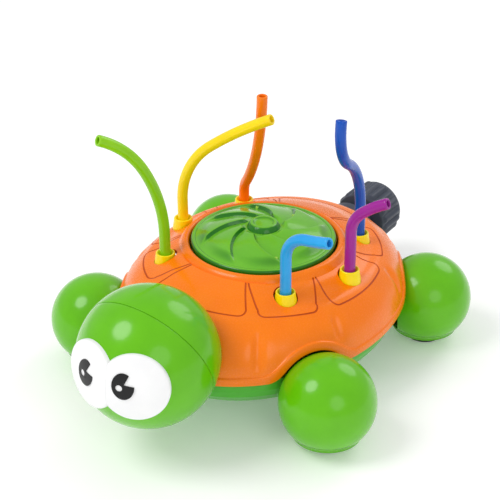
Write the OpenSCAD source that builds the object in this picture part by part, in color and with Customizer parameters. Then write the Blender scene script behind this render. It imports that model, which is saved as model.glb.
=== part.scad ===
// Turtle garden sprinkler with a spinning water disc and six wiggle tubes.
// Millimetres, Z up, head toward -Y, hose connector toward +Y, foot pads standing on Z = 0.

/* [Shell] */
// half width of the shell across the body
shell_half_x = 82.6; // [75:0.1:90]
// half length of the shell along the body
shell_half_y = 101.8; // [92:0.1:112]
// height of the crown of the shell's dome
crown_top = 84.5; // [80:0.1:88]
// radius of the flat crown of the dome, across the body
crown_r = 159; // [140:1:180]
// radius of the rounded shoulder of the dome, across the body
shoulder_r = 35; // [30:0.5:40]
// height of the shell's lower rim
rim_z = 38; // [36:0.1:42]
// wall of the shell
shell_wall = 2.4; // [1.8:0.1:3]
// width of the engraved lines around the eight plates
groove_w = 1; // [0.8:0.1:1.6]
// depth of the engraved lines
groove_d = 0.7; // [0.4:0.1:1]
// gap left between the shell and each foot or the head
opening_gap = 1.2; // [0.8:0.1:3]

/* [Spinner] */
// radius of the spinning disc
spinner_r = 44; // [40:0.1:46]
// height of the disc's rim above the ground
spinner_rim_z = 81; // [79:0.1:84]
// height of the rim band of the disc
rim_band = 4.5; // [3:0.1:6]
// rise of the disc from its rim to its boss
spinner_rise = 8; // [5:0.1:12]
// radius of the boss in the middle of the disc
boss_r = 9; // [7:0.1:12]
// height of the boss above the disc
boss_h = 3.4; // [2:0.1:6]
// wall of the disc's cover
cover_wall = 2.2; // [1.6:0.1:3]
// number of curved vanes on the disc
vane_count = 7; // [5:1:9]
// height of the vanes above the disc
vane_h = 1.2; // [0.8:0.1:2]
// width of a vane
vane_w = 2.4; // [1.6:0.1:4]
// width of the ring of the shell around the disc
well_ring_w = 3.6; // [2.5:0.1:6]
// gap between the disc and the ring
well_gap = 0.8; // [0.5:0.1:1.5]

/* [Spindle] */
// radius of the hollow spindle that carries the disc
spindle_r = 6; // [5:0.1:7]
// radius of the water passage in the spindle
spindle_bore_r = 3.4; // [2.5:0.1:4]
// clearance of every turning fit, on the radius
running = 0.05; // [0.02:0.01:0.09]
// gap between pieces that are fixed together
seat = 0.1; // [0.05:0.01:0.15]

/* [Wiggle tubes] */
// distance of the tube sockets' centres outside the ring
socket_out = 11.6; // [9.5:0.1:14]
// angle between neighbouring sockets
socket_pitch = 45; // [42:1:50]
// height of the sockets' mouths
mouth_z = 76; // [74:0.1:80]
// outer radius of a tube
tube_r = 3.3; // [2.8:0.1:3.4]
// radius of a tube's passage
tube_bore_r = 2; // [1.6:0.1:2.3]
// height of the bend pivot above the socket's mouth
pivot_h = 6; // [5:0.5:12]
// outer radius of a socket at its mouth
socket_r = 6; // [5.4:0.1:7]

/* [Head] */
// radius of the head
head_r = 40.4; // [36:0.1:44]
// distance of the head's centre in front of the shell
head_out = 14.2; // [10:0.1:20]
// height of the head's centre
head_z = 59; // [54:0.5:64]
// turn of the face about the head's upright axis
face_turn = 4.8; // [0:0.1:8]
// radius of an eye disc
eye_r = 19.2; // [16:0.1:20]
// height of an eye's middle above the head
eye_t = 1; // [0.8:0.1:2]
// radius of the domed front of an eye
eye_dome_r = 60; // [45:1:80]
// width of a pupil
pupil_wide = 12.4; // [9:0.1:14]
// height of a pupil
pupil_tall = 15.2; // [11:0.1:17]
// distance of a pupil from the middle of its eye, toward the nose
pupil_shift = 2.7; // [0:0.1:5]
// distance both pupils glance to one side
pupil_glance = 3; // [0:0.1:4]
// height of a pupil above the middle of its eye
pupil_rise = 2; // [0:0.1:4]
// radius of the neck
neck_r = 10; // [9:0.1:11]
// wall of the head
head_wall = 2.4; // [1.8:0.1:3]

/* [Feet] */
// radius of the ball of a foot
foot_r = 28.1; // [24:0.1:30]
// height of the centre of a foot's ball
foot_z = 27.6; // [26:0.1:30]
// distance of the front feet's centres outside the shell's widest place
front_foot_out = 0.3; // [-2:0.1:5]
// distance of the front feet in front of the spindle
front_foot_y = 61.6; // [55:0.1:66]
// distance of the rear feet's centres inside the shell's widest place
rear_foot_in = 6.4; // [2:0.1:10]
// distance of the rear feet behind the spindle
rear_foot_y = 72.5; // [66:0.1:78]
// height of the seam between a foot and its cap
cap_z = 11; // [9:0.1:14]
// radius of a foot's rubber pad
pad_r = 11; // [8:0.1:13]
// thickness of a foot's wall
foot_wall = 2.2; // [1.6:0.1:3]

/* [Hose connector] */
// radius of the female garden hose thread, 3/4 inch
thread_r = 13.5; // [13:0.05:14]
// length of the threaded bore
thread_len = 13; // [9:0.5:16]
// outer radius of the hose nut over its ribs
nut_r = 19.6; // [18:0.1:22]
// length of the hose nut
nut_len = 26; // [22:0.5:30]
// distance of the hose nut behind the shell
nut_out = 18.2; // [15:0.1:22]
// height of the hose connector's axis
hose_z = 40; // [38:0.5:44]
// radius of the inlet pipe
pipe_r = 10; // [8:0.1:11]
// number of grip ribs on the nut
nut_ribs = 18; // [12:1:24]

/* [Hidden] */
$fn = 96;
eps = 0.5;
well_ring_r = spinner_r + well_gap + well_ring_w;
socket_circle_r = well_ring_r + socket_out;
head_y = shell_half_y + head_out;
nut_y = shell_half_y + nut_out;
front_foot_x = shell_half_x + front_foot_out;
rear_foot_x = shell_half_x - rear_foot_in;
stretch = shell_half_y / shell_half_x;
crown_z = crown_top - crown_r;
shoulder_x = shell_half_x - shoulder_r;
shoulder_z = crown_z + sqrt(pow(crown_r - shoulder_r, 2) - pow(shoulder_x, 2));
tangent = atan2(shoulder_z - crown_z, shoulder_x);
base_x = shell_half_x - 4;
base_y = shell_half_y - 4;
base_bottom = 18;
base_wall = 2.4;
well_floor_z = spinner_rim_z - rim_band - 6.5;
well_r = spinner_r + well_gap;
bush_r = spindle_r + 3;
cover_z = spinner_rim_z + spinner_rise;
vane_bend_r = (spinner_r + 4) / 2;
drum_r = 34;
drum_z = 31;
drum_wall = 2.5;
lid_t = 2.4;
seal_t = 1;
boss_seat_r = 14;
lid_boss_r = 4;
lid_z = 53;
arm_z = 60;
arm_r = 4.4;
arm_bore_r = 2.2;
arm_start = drum_r - 8;
elbow_top = arm_z + arm_r + 1.4;
spigot_h = 12;
pivot_z = mouth_z + pivot_h;
ball_r = tube_r + 0.7;
ball_gap = 0.2;
socket_bottom = elbow_top + seat;
end_flange_r = pipe_r + 2.4;
cavity_r = end_flange_r + 0.6;
cavity_len = 9;
lip_len = nut_len - cavity_len - thread_len;
nut_end = nut_y + nut_len;
pupil_t = 0.5;
eye_turn = 21.5;
eye_lift = 6.5;
face_reach = head_r + 1.87;
centre_y = (head_y + face_reach - nut_end) / 2;
seam_tilt = 23;
seam_y = 3;
post_r = 5;
post_x = 30;
post_y = shell_half_y - 31.8;
bracket_w = 32;
bracket_t = 5;
bracket_y = head_y - head_r - 13.6;
screw_r = 1.6;
screw_head_r = 3;
pad_h = 2;
hose_step = 0.05;
hose_lap = 0.6;
foot_seat = 0.6;
foot_post_in = 11;
screw_head_h = 2;

SHELL = [1, 0.5, 0.05];
LIME = [0.42, 0.75, 0.12];
SPIN = [0.38, 0.7, 0.2];
BASE = [0.36, 0.74, 0.26];
YELLOW = [1, 0.88, 0.02];
SLATE = [0.16, 0.18, 0.23];
BLACK = [0.06, 0.06, 0.07];
WHITE = [0.96, 0.96, 0.96];
STEEL = [0.7, 0.71, 0.73];
INNER = [0.75, 0.77, 0.8];
RUBBER = [0.09, 0.09, 0.1];

// name, socket angle, bend direction, bends as [length, degrees], colour
TUBES = [
    ["light_green", 180 + socket_pitch, 240, [[7, 0], [47, 29], [36, 38]], [0.5, 0.82, 0.08]],
    ["yellow", 180, 11, [[8, 0], [45, 53], [47, 12]], [1, 0.85, 0.06]],
    ["orange", 180 - socket_pitch, 323, [[10, 44], [78, -41]], [1, 0.46, 0.02]],
    ["light_blue", -socket_pitch, 353, [[17, 0], [23, 81], [17, -7]], [0.16, 0.66, 0.95]],
    ["purple", 0, 9, [[20, 0], [15, 51], [18, 16]], [0.6, 0.12, 0.58]],
    ["dark_blue", socket_pitch, 280, [[10, 0], [51, 61], [39, -75]], [0.04, 0.32, 0.72]],
];

// the spindle's axis, in the frame whose origin is under the middle of the whole toy
module place() translate([0, centre_y, 0]) children();

// outline of the dome across the body, shrunk by a wall
function dome_outline(inset, low) = concat(
    [[0, low], [shell_half_x - inset, low]],
    [for (i = [0 : 6]) let (a = tangent * i / 6)
        [shoulder_x + (shoulder_r - inset) * cos(a), shoulder_z + (shoulder_r - inset) * sin(a)]],
    [for (i = [1 : 7]) let (a = tangent + (90 - tangent) * i / 7)
        [(crown_r - inset) * cos(a), crown_z + (crown_r - inset) * sin(a)]]);

module dome(inset, low)
    scale([1, stretch, 1])
        rotate_extrude()
            polygon(dome_outline(inset, low));

module at_head() translate([0, -head_y, head_z]) children();

module at_hose() translate([0, 0, hose_z]) rotate([-90, 0, 0]) children();

module at_foot(x, y) translate([x, y, foot_z]) children();

module each_foot() {
    for (side = [-1, 1]) {
        at_foot(side * front_foot_x, -front_foot_y) children();
        at_foot(side * rear_foot_x, rear_foot_y) children();
    }
}

module at_socket(angle)
    translate([socket_circle_r * cos(angle), socket_circle_r * sin(angle), 0]) children();

module groove_plates() {
    for (i = [0 : 7])
        rotate([0, 0, socket_pitch * (i + 0.5)])
            translate([well_ring_r - 1, -groove_w / 2, rim_z + 12])
                cube([70, groove_w, 60]);
    difference() {
        translate([0, 0, rim_z + 22]) cylinder(h = groove_w, r = 130);
        translate([0, 0, rim_z + 21]) cylinder(h = groove_w + 2, r = well_ring_r);
    }
}

module top_shell() color(SHELL) place()
    difference() {
        union() {
            difference() {
                dome(0, rim_z);
                dome(shell_wall, rim_z - eps);
                difference() {
                    groove_plates();
                    dome(groove_d, rim_z - eps);
                }
            }
            translate([0, 0, well_floor_z - shell_wall])
                cylinder(h = spinner_rim_z - rim_band / 2 - well_floor_z + shell_wall, r = well_ring_r);
            intersection() {
                at_shell_post() translate([0, 0, rim_z + 2]) cylinder(h = 60, r = post_r);
                dome(shell_wall / 2, rim_z);
            }
        }
        at_shell_post() translate([0, 0, rim_z]) cylinder(h = 16, r = screw_r);
        translate([0, 0, well_floor_z]) cylinder(h = 40, r = well_r);
        translate([0, 0, well_floor_z - 10]) cylinder(h = 20, r = bush_r + seat);
        for (tube = TUBES)
            at_socket(tube[1])
                translate([0, 0, socket_bottom - 4])
                    cylinder(h = mouth_z - socket_bottom + 8, r = socket_r + seat);
        each_foot() sphere(foot_r + opening_gap);
        at_head() sphere(head_r + opening_gap);
        at_hose() translate([0, 0, 60]) cylinder(h = 60, r = pipe_r + seat);
    }

module base_outline(inset)
    polygon([
        [0, base_bottom + inset], [base_x - 9, base_bottom + inset],
        [base_x - 2 - inset, base_bottom + 8], [base_x - inset, base_bottom + 13],
        [base_x - inset, rim_z + inset * 2 - seat], [0, rim_z + inset * 2 - seat]]);

module base_envelope(grow) scale([1, base_y / base_x, 1])
    translate([0, 0, base_bottom - 1]) cylinder(h = rim_z - base_bottom + 30, r = base_x + grow);

module base_tray() color(BASE) place()
    difference() {
        union() {
            difference() {
                scale([1, base_y / base_x, 1]) rotate_extrude() base_outline(0);
                scale([1, base_y / base_x, 1]) rotate_extrude() base_outline(base_wall);
            }
            at_shell_post() translate([0, 0, base_bottom + 1])
                cylinder(h = rim_z + 1 - seat - base_bottom, r = post_r);
            intersection() {
                for (side = [-1, 1], y = [-front_foot_y, rear_foot_y])
                    translate([side * (wall_x(y) - foot_post_in), y, foot_z]) rotate([0, side * 90, 0])
                        cylinder(h = foot_post_in + 5, r = post_r);
                scale([1, base_y / base_x, 1]) rotate_extrude() base_outline(base_wall / 2);
            }
            translate([0, 0, base_bottom + 1])
                cylinder(h = drum_z - base_bottom - 1 - seat, r = boss_seat_r);
        }
        at_shell_post() translate([0, 0, base_bottom - 1]) cylinder(h = 40, r = screw_r + seat);
        at_shell_post() translate([0, 0, base_bottom - 1])
            cylinder(h = screw_head_h + 1.1 + seat, r = screw_head_r + seat);
        for (side = [0, 1])
            mirror([side, 0, 0]) {
                foot_screw_bore(front_foot_x, -front_foot_y, screw_r + seat);
                foot_screw_bore(rear_foot_x, rear_foot_y, screw_r + seat);
            }
        at_head() sphere(head_r + opening_gap);
        at_hose() translate([0, 0, 60]) cylinder(h = 60, r = pipe_r + seat);
    }

module at_shell_post()
    for (side = [-1, 1], end = [-1, 1])
        translate([side * post_x, end * post_y, 0]) children();

module at_lid_screw()
    for (i = [0 : 7])
        rotate([0, 0, socket_pitch * (i + 0.5)]) translate([drum_r + 3, 0, 0]) children();

module shell_screws() color(STEEL) place()
    at_shell_post() {
        translate([0, 0, base_bottom + seat]) cylinder(h = 2, r = screw_head_r);
        translate([0, 0, base_bottom + 1]) cylinder(h = rim_z + 12 - base_bottom, r = screw_r);
    }

module manifold_body() color(INNER) place()
    difference() {
        union() {
            translate([0, 0, drum_z]) cylinder(h = lid_z - drum_z, r = drum_r);
            at_hose() translate([0, 0, drum_r - 8]) cylinder(h = 20, r = pipe_r + 3);
            at_lid_screw() translate([0, 0, lid_z - 8]) cylinder(h = 8, r = lid_boss_r);
        }
        translate([0, 0, drum_z + drum_wall]) cylinder(h = lid_z, r = drum_r - drum_wall);
        at_hose() translate([0, 0, 20]) cylinder(h = 20, r = pipe_r - 2.5);
        at_hose() translate([0, 0, drum_r + 1]) cylinder(h = 20, r = pipe_r + seat);
        at_lid_screw() translate([0, 0, lid_z - 7]) cylinder(h = 8, r = screw_r);
    }

module manifold_seal() color(RUBBER) place()
    difference() {
        translate([0, 0, lid_z + 0.02]) cylinder(h = seal_t - 0.04, r = drum_r - 0.2);
        translate([0, 0, lid_z - 1]) cylinder(h = seal_t + 2, r = drum_r - drum_wall + 0.1);
    }

// outside of one arm of the lid, from the chamber out to its elbow and the spigot that holds a tube
module lid_arm() {
    translate([arm_start, 0, arm_z]) rotate([0, 90, 0])
        cylinder(h = socket_circle_r - arm_start, r = arm_r);
    translate([arm_start, 0, lid_z + seal_t + 1])
        cylinder(h = arm_z - lid_z - seal_t, r = arm_r + 0.8);
    translate([socket_circle_r, 0, arm_z - arm_r - 1])
        cylinder(h = elbow_top - arm_z + arm_r + 1, r = arm_r + 0.4);
    translate([socket_circle_r, 0, arm_z])
        cylinder(h = elbow_top + spigot_h - arm_z, r = tube_bore_r - running);
}

// water passage of one arm of the lid
module lid_arm_bore() {
    translate([arm_start, 0, arm_z]) rotate([0, 90, 0])
        cylinder(h = socket_circle_r - arm_start, r = arm_bore_r);
    translate([arm_start, 0, lid_z]) cylinder(h = arm_z - lid_z + 0.5, r = arm_bore_r + 0.6);
    translate([socket_circle_r, 0, arm_z]) cylinder(h = 20, r = 1.2);
}

module manifold_lid() color(INNER) place()
    difference() {
        union() {
            translate([0, 0, lid_z + seal_t]) cylinder(h = lid_t, r = drum_r);
            translate([0, 0, lid_z + seal_t + 1])
                cylinder(h = well_floor_z - shell_wall - lid_z - seal_t - 1.2, r = bush_r + 2.6);
            at_lid_screw() translate([0, 0, lid_z + seal_t]) cylinder(h = lid_t, r = lid_boss_r);
            for (tube = TUBES)
                rotate([0, 0, tube[1]]) lid_arm();
        }
        translate([0, 0, lid_z]) cylinder(h = 20, r = bush_r + seat);
        for (tube = TUBES)
            rotate([0, 0, tube[1]]) lid_arm_bore();
        at_lid_screw() translate([0, 0, lid_z]) cylinder(h = 5, r = screw_r + seat);
    }

module lid_screws() color(STEEL) place()
    at_lid_screw() {
        translate([0, 0, lid_z + seal_t + lid_t + 0.02]) cylinder(h = 1.8, r = screw_head_r);
        translate([0, 0, lid_z - 6.5]) cylinder(h = 10.5, r = screw_r - 0.05);
    }

module spinner_bush() color(WHITE) place()
    difference() {
        union() {
            translate([0, 0, lid_z + 1]) cylinder(h = well_floor_z - lid_z, r = bush_r);
            translate([0, 0, well_floor_z + 0.02]) cylinder(h = 1.6, r = bush_r + 3);
        }
        translate([0, 0, lid_z]) cylinder(h = 20, r = spindle_r + running);
    }

module spindle() color(STEEL) place()
    difference() {
        union() {
            translate([0, 0, lid_z - 5]) cylinder(h = cover_z - lid_z + 5, r = spindle_r);
            translate([0, 0, well_floor_z + 1.7]) cylinder(h = 2, r = bush_r + 2);
        }
        translate([0, 0, lid_z - 6]) cylinder(h = cover_z - lid_z + 3, r = spindle_bore_r);
        for (i = [0 : 3])
            rotate([0, 90, 90 * i + 45])
                translate([-spinner_rim_z + 1, 0, 0]) cylinder(h = spindle_r + 2, r = 1.2);
        difference() {
            translate([0, 0, lid_z - 2 - seat]) cylinder(h = 1.6 + 2 * seat, r = spindle_r + 2);
            translate([0, 0, lid_z - 3]) cylinder(h = 4, r = spindle_r - 1);
        }
    }

module spindle_clip() color(STEEL) place()
    difference() {
        translate([0, 0, lid_z - 2]) cylinder(h = 1.6, r = spindle_r + 2.5);
        translate([0, 0, lid_z - 3]) cylinder(h = 4, r = spindle_r - 1 + 0.02);
        translate([0, -2.5, lid_z - 3]) cube([20, 5, 4]);
    }

module spinner_plate() color(SPIN) place()
    difference() {
        translate([0, 0, well_floor_z + 3.8]) cylinder(h = 2, r = spinner_r - cover_wall - 0.2);
        translate([0, 0, well_floor_z]) cylinder(h = 20, r = spindle_r + 0.02);
        for (i = [0 : 2])
            rotate([0, 0, 120 * i]) translate([34, 0, well_floor_z]) cylinder(h = 20, r = 1.5);
    }

// outline of the disc's cover, shrunk by a wall and raised by a lift
function cover_outline(inset, lift) = concat(
    [[0, spinner_rim_z - rim_band - (inset > 0 ? 1 : 0)],
     [spinner_r - inset, spinner_rim_z - rim_band - (inset > 0 ? 1 : 0)],
     [spinner_r - inset, spinner_rim_z - 1.6 - inset / 2 + lift]],
    [for (i = [0 : 8]) let (r = spinner_r - 1.2 - inset - (spinner_r - 1.2 - inset) * i / 8)
        [r, spinner_rim_z + spinner_rise * (1 - pow(r / spinner_r, 1.7)) - inset + lift]]);

module vanes()
    intersection() {
        rotate_extrude() polygon(cover_outline(0, vane_h));
        difference() {
            for (i = [0 : vane_count - 1])
                rotate([0, 0, 360 / vane_count * i])
                    translate([0, vane_bend_r, spinner_rim_z - 2])
                        difference() {
                            cylinder(h = 20, r = vane_bend_r + vane_w / 2);
                            translate([0, 0, -1]) cylinder(h = 22, r = vane_bend_r - vane_w / 2);
                            translate([-60, -60, -1]) cube([60, 120, 22]);
                        }
            cylinder(h = 200, r = boss_r);
        }
        cylinder(h = 200, r = spinner_r - 3);
    }

module spinner_cover() color(SPIN) place()
    difference() {
        union() {
            rotate_extrude() polygon(cover_outline(0, 0));
            vanes();
        }
        rotate_extrude() polygon(cover_outline(cover_wall, 0));
        cylinder(h = 200, r = boss_r - 2);
        for (i = [0 : 5])
            rotate([0, 0, 60 * i + 15]) translate([20 + 3 * i, 0, 0]) cylinder(h = 200, r = 0.9);
    }

module spinner_cap() color(SPIN) place()
    difference() {
        union() {
            translate([0, 0, cover_z + 0.05]) cylinder(h = boss_h - 1.5, r = boss_r);
            translate([0, 0, cover_z + boss_h - 1.46]) cylinder(h = 1.5, r1 = boss_r, r2 = boss_r - 2.5);
            translate([0, 0, cover_z - 4]) cylinder(h = 5, r = boss_r - 2 - 0.05);
        }
        translate([0, 0, cover_z - 5]) cylinder(h = 5.05, r = spindle_r + 0.02);
    }

module inlet_flange() color(SLATE) place()
    difference() {
        at_hose() translate([0, 0, shell_half_y - 12]) cylinder(h = 18, r = nut_r - 2);
        dome(-seat, rim_z - seat);
        base_envelope(seat);
        at_hose() cylinder(h = 200, r = pipe_r + seat);
    }

module inlet_seal() color(RUBBER) place()
    difference() {
        at_hose() translate([0, 0, shell_half_y - 16]) cylinder(h = 3, r = pipe_r + 3);
        at_hose() cylinder(h = 200, r = pipe_r + 0.02);
    }

module inlet_pipe() color(SLATE) place()
    at_hose()
        difference() {
            union() {
                translate([0, 0, drum_r + 1.1])
                    cylinder(h = nut_y + lip_len + 4 - drum_r - 1.1, r = pipe_r);
                translate([0, 0, nut_y + lip_len + 0.1]) cylinder(h = 3.9, r = end_flange_r);
            }
            cylinder(h = 200, r = pipe_r - 2.5);
        }

module hose_nut() color(SLATE) place()
    at_hose() translate([0, 0, nut_y])
        difference() {
            union() {
                cylinder(h = nut_len, r = nut_r - 1.2);
                for (i = [0 : nut_ribs - 1])
                    rotate([0, 0, 360 / nut_ribs * i])
                        translate([nut_r - 1.7, 0, 2]) cylinder(h = nut_len - 4, r = 1.7);
            }
            translate([0, 0, -1]) cylinder(h = nut_len, r = pipe_r + running);
            translate([0, 0, lip_len]) cylinder(h = nut_len, r = cavity_r);
            translate([0, 0, lip_len + cavity_len]) cylinder(h = nut_len, r = thread_r);
        }

module hose_washer() color(RUBBER) place()
    at_hose() translate([0, 0, nut_y + lip_len + 4.05])
        difference() {
            cylinder(h = 3, r = end_flange_r);
            translate([0, 0, -1]) cylinder(h = 5, r = pipe_r - 2);
        }

module inlet_filter() color(WHITE) place()
    at_hose() translate([0, 0, nut_y + lip_len + 4.2])
        difference() {
            cylinder(h = 1.6, r = pipe_r - 2.05);
            translate([0, 0, -1]) cylinder(h = 4, r = 1);
            for (i = [0 : 5])
                rotate([0, 0, 60 * i]) translate([4.4, 0, -1]) cylinder(h = 4, r = 1.4);
        }

module socket(i) color(YELLOW) place()
    at_socket(TUBES[i][1])
        difference() {
            translate([0, 0, socket_bottom])
                cylinder(h = mouth_z - socket_bottom, r1 = socket_r - 1, r2 = socket_r);
            cylinder(h = 200, r = tube_r + running);
        }

module tube_root(i) color(TUBES[i][4]) place()
    at_socket(TUBES[i][1])
        difference() {
            translate([0, 0, socket_bottom + seat])
                cylinder(h = pivot_z - socket_bottom - seat, r = tube_r);
            cylinder(h = 200, r = tube_bore_r);
            translate([0, 0, pivot_z]) sphere(ball_r + ball_gap);
        }

// wall of a hose; each further length is a hair thinner, so that it starts inside the one before
module hose_ring(i)
    difference() {
        circle(r = tube_r - hose_step * i);
        circle(r = tube_bore_r + hose_step * i);
    }

// a hose that runs up from the origin and bends through each [length, degrees] of a list
module hose(bends, i = 0) {
    if (i < len(bends)) {
        length = bends[i][0];
        bend = bends[i][1];
        if (bend == 0) {
            translate([0, 0, -hose_lap])
                linear_extrude(height = length + hose_lap) hose_ring(i + 1);
            translate([0, 0, length]) hose(bends, i + 1);
        } else {
            radius = length / (abs(bend) * PI / 180);
            side = sign(bend);
            lap = hose_lap / radius * 180 / PI;
            rotate([0, 0, side > 0 ? 0 : 180])
                translate([radius, 0, 0])
                    rotate([90, 0, 180])
                        rotate([0, 0, -lap])
                            rotate_extrude(angle = abs(bend) + lap)
                                translate([radius, 0]) hose_ring(i + 1);
            translate([side * radius * (1 - cos(bend)), 0, radius * sin(abs(bend))])
                rotate([0, bend, 0]) hose(bends, i + 1);
        }
    }
}

module tube_tip(i) color(TUBES[i][4]) place()
    at_socket(TUBES[i][1]) translate([0, 0, pivot_z]) rotate([0, 0, TUBES[i][2]]) {
        hose(TUBES[i][3]);
        intersection() {
            sphere(ball_r);
            translate([0, 0, -ball_r - 1])
                linear_extrude(height = ball_r + 1) hose_ring(0);
        }
    }

module head_half(front)
    difference() {
        sphere(head_r);
        sphere(head_r - head_wall);
        rotate([seam_tilt, 0, 0])
            translate([-60, front ? seam_y - 0.1 : seam_y - 120, -60]) cube([120, 120, 120]);
    }

module at_eye(side)
    at_head() rotate([0, 0, face_turn + side * eye_turn]) rotate([90 - eye_lift, 0, 0]) children();

// ball whose front is the domed front of an eye, raised by a lift
module eye_ball(side, lift)
    at_eye(side) translate([0, 0, head_r + eye_t - eye_dome_r]) sphere(eye_dome_r + lift);

// block on the far side of the plane where the two eyes meet
module past_nose(side)
    at_head() rotate([0, 0, face_turn])
        translate([side > 0 ? 0.04 - 60 : -0.04, -60, -60]) cube([60, 60, 120]);

module at_pupil(side)
    at_eye(side) translate([-side * pupil_shift - pupil_glance, pupil_rise, 0]) children();

module head_posts(front)
    intersection() {
        sphere(head_r - 1);
        for (side = [-1, 1])
            translate([side * 24, front ? -40 : 5.2, 0]) rotate([-90, 0, 0])
                cylinder(h = front ? 41.2 : 40, r = 4);
    }

module head_front() color(LIME) place()
    at_head()
        difference() {
            union() {
                head_half(true);
                head_posts(true);
            }
            for (side = [-1, 1])
                translate([side * 24, -14, 0]) rotate([-90, 0, 0]) cylinder(h = 20, r = screw_r);
        }

module head_back() color(LIME) place()
    at_head()
        difference() {
            union() {
                head_half(false);
                head_posts(false);
            }
            for (side = [-1, 1])
                translate([side * 24, 0, 0]) rotate([-90, 0, 0]) cylinder(h = 60, r = screw_r + seat);
            rotate([-90, 0, 0]) cylinder(h = 60, r = neck_r + seat);
        }

module head_screws() color(STEEL) place()
    at_head()
        for (side = [-1, 1])
            translate([side * 24, -13, 0]) rotate([-90, 0, 0]) {
                cylinder(h = 48, r = screw_r - 0.05);
                translate([0, 0, 48]) cylinder(h = 2, r = screw_head_r);
            }

module neck_bracket() color(BASE) place()
    difference() {
        union() {
            translate([-bracket_w / 2, -bracket_y, base_bottom + base_wall + seat])
                cube([bracket_w, bracket_t, head_z + neck_r - 1 - base_bottom - base_wall]);
            translate([-bracket_w / 2, -bracket_y, base_bottom + base_wall + seat])
                cube([bracket_w, bracket_t + 19, 3]);
            translate([0, bracket_t - bracket_y - eps, head_z]) rotate([90, 0, 0])
                cylinder(h = bracket_t + 25, r = neck_r);
        }
        translate([0, bracket_t - bracket_y + 15, head_z]) rotate([90, 0, 0])
            cylinder(h = 60, r = neck_r - 3);
    }

module eye(side) color(WHITE) place()
    difference() {
        intersection() {
            eye_ball(side, 0);
            at_eye(side) cylinder(h = 60, r = eye_r);
        }
        at_head() sphere(head_r + 0.05);
        past_nose(side);
    }

module pupil(side) color(BLACK) place()
    difference() {
        intersection() {
            eye_ball(side, pupil_t);
            at_pupil(side)
                scale([pupil_wide / pupil_tall, 1, 1]) cylinder(h = 60, r = pupil_tall / 2);
        }
        eye_ball(side, 0.05);
        at_pupil(side)
            translate([0.6, 1, 0]) rotate([0, 0, -8])
                linear_extrude(height = 60) polygon([[0, 0], [30, 0], [10, 28]]);
        at_pupil(side) translate([-2.2, -1, 0]) cylinder(h = 60, r = 1.9);
    }

// round face that follows the base's wall beside a foot
module base_side(y, grow) {
    t = asin(y / base_y);
    bend_x = (pow(base_x, 2) - pow(base_y, 2)) / base_x * pow(cos(t), 3);
    bend_y = (pow(base_y, 2) - pow(base_x, 2)) / base_y * pow(sin(t), 3);
    bend_r = pow(pow(base_x * sin(t), 2) + pow(base_y * cos(t), 2), 1.5) / (base_x * base_y);
    translate([bend_x, bend_y, -10]) cylinder(h = 200, r = bend_r + grow);
}

function wall_x(y) = base_x * sqrt(1 - pow(y / base_y, 2));

module foot_post(x, y)
    translate([wall_x(y) - 4, y, foot_z]) rotate([0, 90, 0])
        cylinder(h = x + foot_r - 1.6 - wall_x(y) + 4, r = post_r);

module foot_screw_bore(x, y, r)
    translate([0, y, foot_z]) rotate([0, 90, 0])
        translate([0, 0, wall_x(y) - 20]) cylinder(h = abs(x) + 36 - wall_x(y), r = r);

module foot(x, y) color(LIME) place()
    mirror([x < 0 ? 1 : 0, 0, 0])
        difference() {
            union() {
                at_foot(abs(x), y)
                    difference() {
                        sphere(foot_r);
                        sphere(foot_r - foot_wall);
                    }
                foot_post(abs(x), y);
            }
            translate([0, y - 50, -50]) cube([200, 100, cap_z + 50 + 0.15]);
            base_side(y, foot_seat);
            foot_screw_bore(abs(x), y, screw_r);
        }

module foot_cap(x, y) color(LIME) place()
    difference() {
        at_foot(x, y) sphere(foot_r);
        difference() {
            at_foot(x, y) sphere(foot_r - foot_wall);
            translate([x - 50, y - 50, -50]) cube([100, 100, 50 + pad_h + foot_wall]);
        }
        translate([x - 50, y - 50, cap_z - 0.15]) cube([100, 100, 100]);
        translate([x - 50, y - 50, -20]) cube([100, 100, 20 + pad_h + 0.02]);
    }

module foot_pads() color(RUBBER) place()
    for (side = [-1, 1]) {
        translate([side * front_foot_x, -front_foot_y, 0]) cylinder(h = pad_h, r = pad_r);
        translate([side * rear_foot_x, rear_foot_y, 0]) cylinder(h = pad_h, r = pad_r);
    }

module foot_screw(x, y)
    mirror([x < 0 ? 1 : 0, 0, 0])
        translate([wall_x(y) - foot_post_in - screw_head_h - seat, y, foot_z]) rotate([0, 90, 0]) {
            cylinder(h = screw_head_h, r = screw_head_r);
            cylinder(h = abs(x) + 4 - wall_x(y) + foot_post_in + screw_head_h, r = screw_r - 0.05);
        }

module foot_screws() color(STEEL) place()
    for (side = [-1, 1]) {
        foot_screw(side * front_foot_x, -front_foot_y);
        foot_screw(side * rear_foot_x, rear_foot_y);
    }

top_shell();
base_tray();
shell_screws();
manifold_body();
manifold_seal();
manifold_lid();
lid_screws();
spinner_bush();
spindle();
spindle_clip();
spinner_plate();
spinner_cover();
spinner_cap();
inlet_flange();
inlet_seal();
inlet_pipe();
hose_nut();
hose_washer();
inlet_filter();
socket(0);  // socket_light_green
socket(1);  // socket_yellow
socket(2);  // socket_orange
socket(3);  // socket_light_blue
socket(4);  // socket_purple
socket(5);  // socket_dark_blue
tube_root(0);  // tube_root_light_green
tube_root(1);  // tube_root_yellow
tube_root(2);  // tube_root_orange
tube_root(3);  // tube_root_light_blue
tube_root(4);  // tube_root_purple
tube_root(5);  // tube_root_dark_blue
tube_tip(0);  // tube_tip_light_green
tube_tip(1);  // tube_tip_yellow
tube_tip(2);  // tube_tip_orange
tube_tip(3);  // tube_tip_light_blue
tube_tip(4);  // tube_tip_purple
tube_tip(5);  // tube_tip_dark_blue
head_front();
head_back();
neck_bracket();
head_screws();
eye(1);  // eye_left
eye(-1);  // eye_right
pupil(1);  // pupil_left
pupil(-1);  // pupil_right
foot(front_foot_x, -front_foot_y);  // foot_front_left
foot(-front_foot_x, -front_foot_y);  // foot_front_right
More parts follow.
